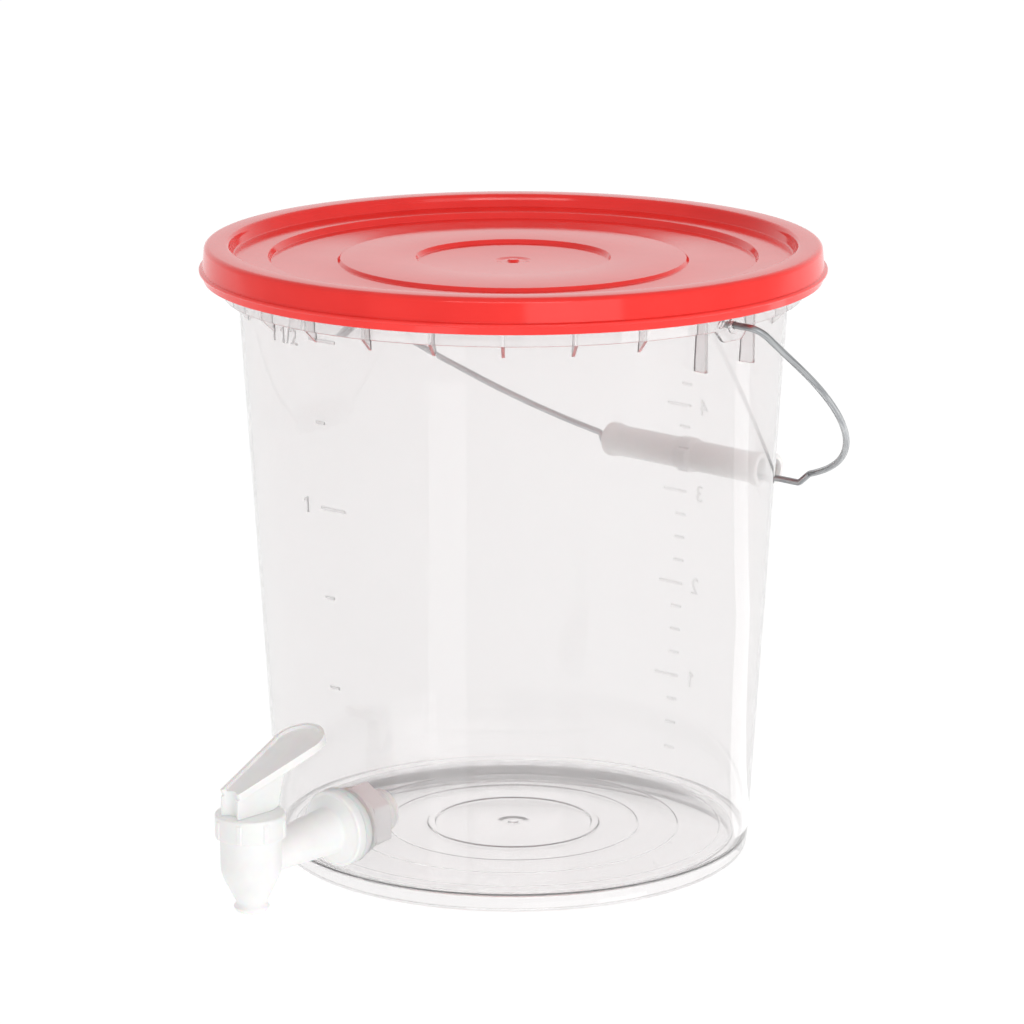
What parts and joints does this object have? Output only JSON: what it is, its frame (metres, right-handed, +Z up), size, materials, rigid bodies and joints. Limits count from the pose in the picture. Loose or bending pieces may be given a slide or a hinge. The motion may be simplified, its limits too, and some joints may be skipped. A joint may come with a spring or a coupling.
{
  "type": "bucket with tap",
  "caption": "Tapered clear plastic bucket with a press-on lid, a wire bail with a loose tube grip and a spring-closed lever tap low on the wall for drawing off liquid.",
  "frame": {"origin": "centre of the foot ring, on the surface that the bucket stands on", "axes": "+Z up along the bucket's axis, the tap points along -Y, the bail's ears are on the X axis"},
  "size_m": [0.2424, 0.2669, 0.2327],
  "materials": {
    "clear_plastic": "clear, glossy, moulded",
    "red_plastic": "glossy, moulded",
    "galvanised_wire": "drawn and galvanised",
    "pale_plastic": "milky, moulded",
    "white_plastic": "satin, moulded",
    "silicone": "soft, matte",
    "spring_steel": "drawn wire"
  },
  "bodies": {
    "bucket": {"bucket_body": "clear_plastic", "tap_body": "white_plastic", "tap_outer_washer": "silicone", "tap_inner_washer": "silicone", "tap_nut": "pale_plastic", "tap_bonnet": "white_plastic", "stem_spring": "spring_steel"},
    "lid": {"lid": "red_plastic"},
    "bail": {"bail_wire": "galvanised_wire"},
    "grip": {"bail_grip": "pale_plastic"},
    "valve": {"valve_seat_cup": "silicone"},
    "stem": {"tap_stem": "white_plastic"},
    "lever": {"tap_lever": "white_plastic"}
  },
  "joints": [
    {"name": "lid_lift", "type": "slide", "parent": "bucket", "child": "lid", "axis": [0, 0, 1], "range_m": [0, 0.06]},
    {"name": "bail_swing", "type": "hinge", "parent": "bucket", "child": "bail", "pos_m": [0, 0, 0.2154], "axis": [1, 0, 0], "range_deg": [0, 255.5]},
    {"name": "grip_spin", "type": "hinge", "parent": "bail", "child": "grip", "pos_m": [-0.0027, 0.1047, 0.13402], "axis": [1, 0, 0], "continuous": true},
    {"name": "stem_lift", "type": "slide", "parent": "bucket", "child": "valve", "axis": [0, 0, 1], "range_m": [0, 0.00262], "stiffness_N_per_m": 600, "springref_m": -0.003, "deforming": ["stem_spring"]},
    {"name": "lever_swivel", "type": "hinge", "parent": "valve", "child": "stem", "pos_m": [0, -0.13725, 0.02397], "axis": [0, 0, 1], "continuous": true},
    {"name": "lever_tilt", "type": "hinge", "parent": "stem", "child": "lever", "pos_m": [0, -0.13725, 0.04717], "axis": [-1, 0, 0], "range_deg": [0, 25]}
  ],
  "couplings": [
    {"joint": "lever_tilt", "follows": "stem_lift", "rad_per_m": 166.67}
  ]
}
